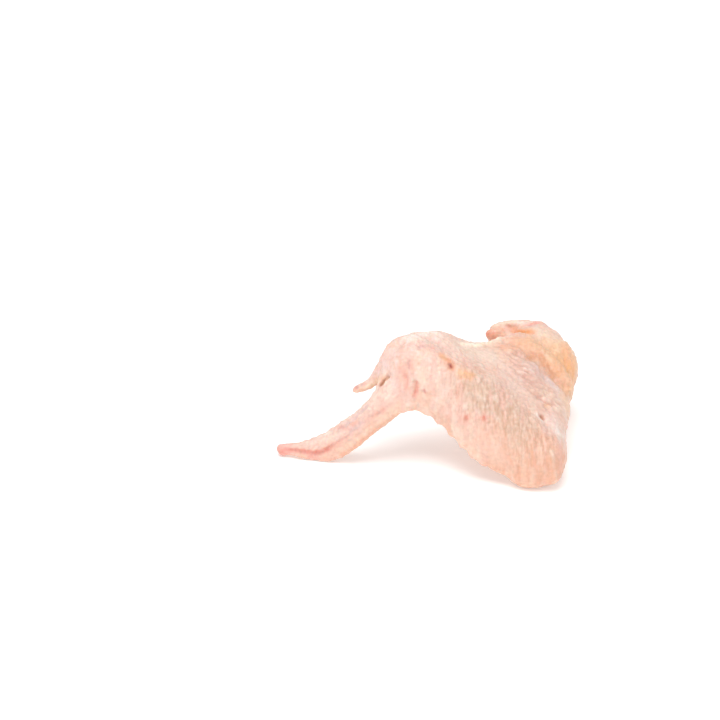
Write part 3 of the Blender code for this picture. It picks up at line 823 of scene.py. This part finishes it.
def tint_patches(skin):
    """How much of each point is in each patch that a layer can name."""
    bare = 1 - skin.flesh
    flat = bare * skin.flat
    meat = skin.flesh * (1 - skin.bone)
    pink_folds = np.maximum(skin.hand, skin.ridge)
    return {
        "everywhere": np.ones(len(skin.places)),
        "skin": bare,
        "skin, more where slack": bare * (1 + skin.slack),
        "other skin": bare * (1 - skin.slack) * (1 - skin.bulge) * (1 - pink_folds),
        "flat": flat,
        "flat, less on the tract": flat * (1 - TRACT_FAINTER * skin.tract),
        "elbow": skin.elbow,
        "cuff": skin.cuff,
        "pink folds": pink_folds,
        "slack": skin.slack,
        "bulge": skin.bulge,
        "meat": meat,
        "meat, less on the flap": meat * (1 - FLAP_FAINTER * skin.flap),
        "meat, least on the flap": meat * (1 - FLAP_FAINTEST * skin.flap),
        "flap": skin.flap,
        "fat": skin.fat,
        "sinew": skin.sinew,
        "bone": skin.bone,
        "bone edge": skin.bone_edge,
        "cleft": skin.cleft,
    }


def colours(skin):
    """The pigment of each point, and the masks that the material needs."""
    places = skin.places
    patches = tint_patches(skin)
    fields = {name: noise(places, *field) for name, field in TINT_FIELDS.items()}
    fields["even"] = np.ones(len(places))
    fields["facing up"] = skin.normals[:, 2]
    fields["relief"] = skin.relief
    ragged = 1 + humps(places, *RAGS)

    def layers(table):
        for colour, strength, patch, field, start, full in table:
            yield colour, strength * patches[patch] * ramp(fields[field], start, full)

    def spots(table):
        for colour, strength, radius, pixels in table:
            yield colour, strength * bell(skin.gap(pixels) * ragged, radius)

    tint = np.tile(linear(PALE), (len(places), 1))
    order = chain(layers(FIRST_LAYERS), spots(ZONES), layers(SECOND_LAYERS), spots(MARKS))
    for colour, strength in order:
        share = np.clip(strength, 0, 1)[:, None]
        tint = tint * (1 - share) + linear(colour) * share
    masks = np.stack([skin.flesh, skin.tract, skin.elbow], axis=1)
    return tint, masks


def paint(item, name, values):
    """Keeps a colour for each point under a name."""
    values = np.concatenate([values, np.ones((len(values), 1))], axis=1)
    layer = item.data.color_attributes.new(name, "FLOAT_COLOR", "POINT")
    layer.data.foreach_set("color", values.astype(np.float32).ravel())


# The sockets of a mix node that hold colours
MIX_UNDER = 6
MIX_OVER = 7
MIX_RESULT = 2


class Surface:
    """A material, with its nodes added in few words."""

    def __init__(self, name):
        self.material = bpy.data.materials.new(name)
        self.material.use_nodes = True
        self.tree = self.material.node_tree
        self.shader = self.tree.nodes["Principled BSDF"]
        self.place = self.add("TexCoord").outputs["Object"]

    def add(self, kind, inputs=(), **settings):
        """A node of a kind; inputs are sockets by name or number, each a value or a node's output."""
        node = self.tree.nodes.new("ShaderNode" + kind)
        for name, value in settings.items():
            setattr(node, name, value)
        for key, value in dict(inputs).items():
            self.set(node, key, value)
        return node

    def set(self, node, key, value):
        if isinstance(value, bpy.types.NodeSocket):
            self.tree.links.new(value, node.inputs[key])
        else:
            node.inputs[key].default_value = value

    def noise(self, scale, detail):
        """Noise of so many humps per metre, along X, Y and Z."""
        scaled = self.add("VectorMath", {0: self.place, 1: scale}, operation="MULTIPLY")
        sockets = {"Vector": scaled.outputs["Vector"], "Scale": 1.0, "Detail": detail}
        return self.add("TexNoise", sockets).outputs["Fac"]

    def fit(self, value, low, high, to_low=0.0, to_high=1.0):
        """A value carried from one span to another, and kept in it."""
        sockets = {"Value": value, "From Min": low, "From Max": high}
        sockets |= {"To Min": to_low, "To Max": to_high}
        return self.add("MapRange", sockets).outputs["Result"]

    def maths(self, operation, a, b):
        return self.add("Math", {0: a, 1: b}, operation=operation).outputs["Value"]

    def mix(self, share, under, over):
        """Two colours mixed."""
        sockets = {"Factor": share, MIX_UNDER: under, MIX_OVER: over}
        return self.add("Mix", sockets, data_type="RGBA").outputs[MIX_RESULT]


def shown(colour):
    """A colour for a socket, from how it looks."""
    return (*linear(colour), 1.0)


# The material's noise: (humps per metre along X, Y and Z, detail)
MOTTLE = ((650, 650, 650), 3)
STROKES = ((850, 260, 260), 2)
LINES = ((420, 90, 90), 2)
PORES = ((1500, 1500, 1500), 4)

# How noise is turned into brightness or strength: (from, to), then the span it is carried to
MOTTLE_SPAN = (0.3, 0.7, 0.91, 1.06)
DARK_SPAN = (0.48, 0.7)
LIGHT_SPAN = (0.48, 0.3)
WARM_SPAN = (0.48, 0.7)

# The strength of strokes off the tract and on it, in the same form, and of warm lines on the elbow
DARK_STRENGTH = (0, 1, 0.06, 0.55)
LIGHT_STRENGTH = (0, 1, 0.15, 0.45)
WARM_STRENGTH = 0.4

# The bump of pores and strokes, its distance in metres
PORE_HEIGHT = 0.35
STROKE_HEIGHT = -0.5
BUMP_STRENGTH = 0.7
BUMP_DISTANCE = 0.0004

# Roughness from skin to flesh, and how light comes back from the surface and from under it
ROUGHNESS = (0, 1, 0.42, 0.28)
SPECULAR = 0.4
UNDER_WEIGHT = 0.3
UNDER_RADIUS = (1.0, 0.4, 0.25)
UNDER_SCALE = 0.0016


def skin_material():
    made = Surface("raw_skin")
    tint = made.add("VertexColor", layer_name="tint").outputs["Color"]
    masks = made.add("VertexColor", layer_name="masks").outputs["Color"]
    mask = made.add("SeparateColor", {"Color": masks}).outputs
    flesh, tract, elbow = mask["Red"], mask["Green"], mask["Blue"]

    mottle = made.fit(made.noise(*MOTTLE), *MOTTLE_SPAN)
    colour = made.add("VectorMath", {0: tint, "Scale": mottle}, operation="SCALE").outputs["Vector"]
    strokes = made.noise(*STROKES)
    dark = made.maths("MULTIPLY", made.fit(strokes, *DARK_SPAN), made.fit(tract, *DARK_STRENGTH))
    colour = made.mix(dark, colour, shown(TRACT_DARK))
    light = made.maths("MULTIPLY", made.fit(strokes, *LIGHT_SPAN), made.fit(tract, *LIGHT_STRENGTH))
    colour = made.mix(light, colour, shown(TRACT_LIGHT))
    lines = made.fit(made.noise(*LINES), *WARM_SPAN)
    warm = made.maths("MULTIPLY", lines, made.maths("MULTIPLY", elbow, WARM_STRENGTH))
    colour = made.mix(warm, colour, shown(ELBOW_WARM))
    made.set(made.shader, "Base Color", colour)

    pores = made.maths("MULTIPLY", made.noise(*PORES), PORE_HEIGHT)
    height = made.maths("ADD", pores, made.maths("MULTIPLY", strokes, STROKE_HEIGHT))
    bump = made.add("Bump", {"Strength": BUMP_STRENGTH, "Distance": BUMP_DISTANCE, "Height": height})
    made.set(made.shader, "Normal", bump.outputs["Normal"])
    made.set(made.shader, "Roughness", made.fit(flesh, *ROUGHNESS))
    made.set(made.shader, "Specular IOR Level", SPECULAR)
    made.set(made.shader, "Subsurface Weight", UNDER_WEIGHT)
    made.set(made.shader, "Subsurface Radius", UNDER_RADIUS)
    made.set(made.shader, "Subsurface Scale", UNDER_SCALE)
    return made.material


def build_wing():
    skin = Skin()
    shape(skin)
    tint, masks = colours(skin)
    paint(skin.item, "tint", tint)
    paint(skin.item, "masks", masks)
    skin.item.data.materials.append(skin_material())
    skin.item.data.shade_smooth()
    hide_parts(WING)
    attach(skin.item, "root")


# Light: how bright the surroundings are, then each soft lamp (name, place in metres, sides, power)
SURROUNDINGS = 0.58
LAMPS = (
    ("softbox", (-0.15, -0.38, 1.75), (1.2, 1.1), 22.5),
    ("fill", (-0.5, -1.6, 0.45), (1.4, 0.6), 4.0),
)
LAMP_AIM = Vector((0, 0, 0.02))
WHITE = (1, 1, 1, 1)

# The floor: half its side in metres, its grey, its sheen, and the glow that keeps it white
FLOOR_HALF = 4.0
FLOOR_GREY = (0.92, 0.92, 0.92, 1)
FLOOR_ROUGHNESS = 0.9
FLOOR_SPECULAR = 0.1
FLOOR_GLOW = 0.25


def build_stage():
    """White floor and surroundings, a broad soft light from above and a weaker one from the front."""
    scene = bpy.context.scene
    corners = [(x * FLOOR_HALF, y * FLOOR_HALF, 0) for x, y in ((-1, -1), (1, -1), (1, 1), (-1, 1))]
    mesh = bpy.data.meshes.new("floor")
    mesh.from_pydata(corners, [], [(0, 1, 2, 3)])
    floor = bpy.data.objects.new("floor", mesh)
    scene.collection.objects.link(floor)
    paper = Surface("paper")
    paper.set(paper.shader, "Base Color", FLOOR_GREY)
    paper.set(paper.shader, "Roughness", FLOOR_ROUGHNESS)
    paper.set(paper.shader, "Specular IOR Level", FLOOR_SPECULAR)
    paper.set(paper.shader, "Emission Color", WHITE)
    paper.set(paper.shader, "Emission Strength", FLOOR_GLOW)
    mesh.materials.append(paper.material)

    world = bpy.data.worlds.new("studio")
    world.use_nodes = True
    world.node_tree.nodes["Background"].inputs["Color"].default_value = WHITE
    world.node_tree.nodes["Background"].inputs["Strength"].default_value = SURROUNDINGS
    scene.world = world

    for name, place, sides, power in LAMPS:
        lamp = bpy.data.lights.new(name, "AREA")
        lamp.shape = "RECTANGLE"
        lamp.size, lamp.size_y = sides
        lamp.energy = power
        item = bpy.data.objects.new(name, lamp)
        item.location = place
        item.rotation_euler = (LAMP_AIM - item.location).to_track_quat("-Z", "Y").to_euler()
        item.visible_camera = False
        scene.collection.objects.link(item)


def build_camera():
    scene = bpy.context.scene
    camera = bpy.data.objects.new("camera", bpy.data.cameras.new("camera"))
    camera.data.lens = CAMERA_LENS
    camera.data.sensor_width = CAMERA_SENSOR
    camera.location = CAMERA_PLACE * MM
    camera.rotation_euler = (math.pi / 2 - VIEW_ELEVATION, 0, 0)
    scene.collection.objects.link(camera)
    scene.camera = camera
    scene.view_settings.view_transform = "Standard"


build_camera()
build_stage()
build_wing()
